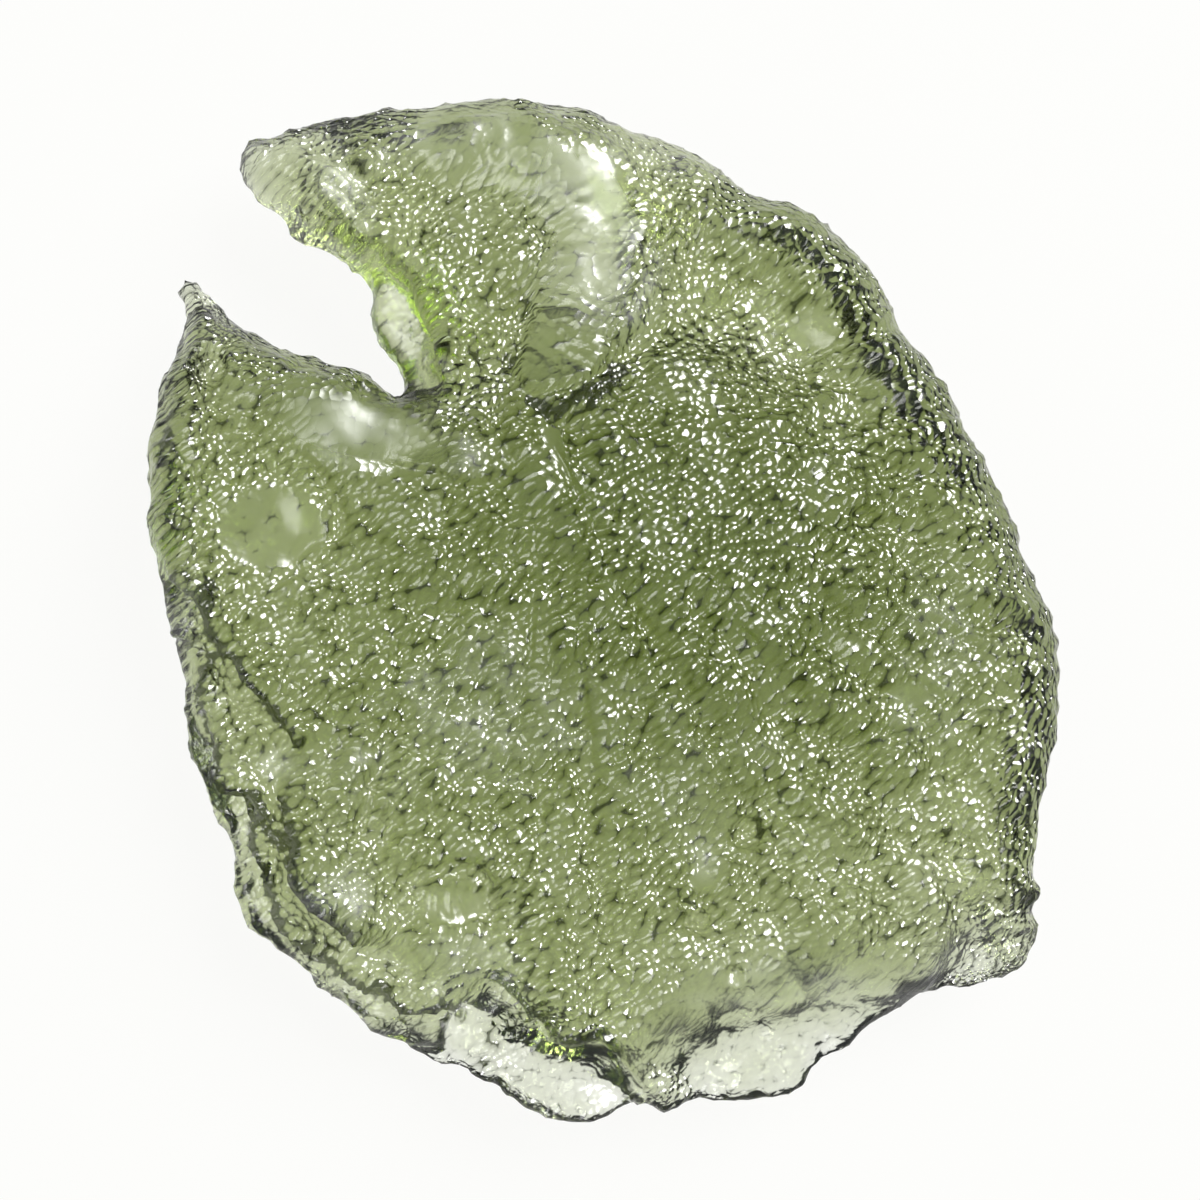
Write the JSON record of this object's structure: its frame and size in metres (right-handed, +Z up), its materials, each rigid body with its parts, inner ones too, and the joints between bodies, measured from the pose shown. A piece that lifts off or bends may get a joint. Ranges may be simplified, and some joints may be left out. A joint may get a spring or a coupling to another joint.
{
  "type": "moldavite",
  "caption": "Flat piece of green natural impact glass, etched all over, with a horn, a tooth and a notch, a raised lobe and thin stepped plates at its lower edge.",
  "frame": {"origin": "middle of the stone's box on the plane that it rests on", "axes": "+Z up from the rest spot, +Y along the stone's length towards its horn and lobe, +X towards its long rounded edge"},
  "size_m": [0.0304, 0.0342, 0.0072],
  "materials": {
    "moldavite_glass": "etched, glossy in the pits and smooth windows, frosted elsewhere; clear bottle green to olive, paler where thin"
  },
  "bodies": {
    "root": {"moldavite": "moldavite_glass"}
  },
  "joints": []
}
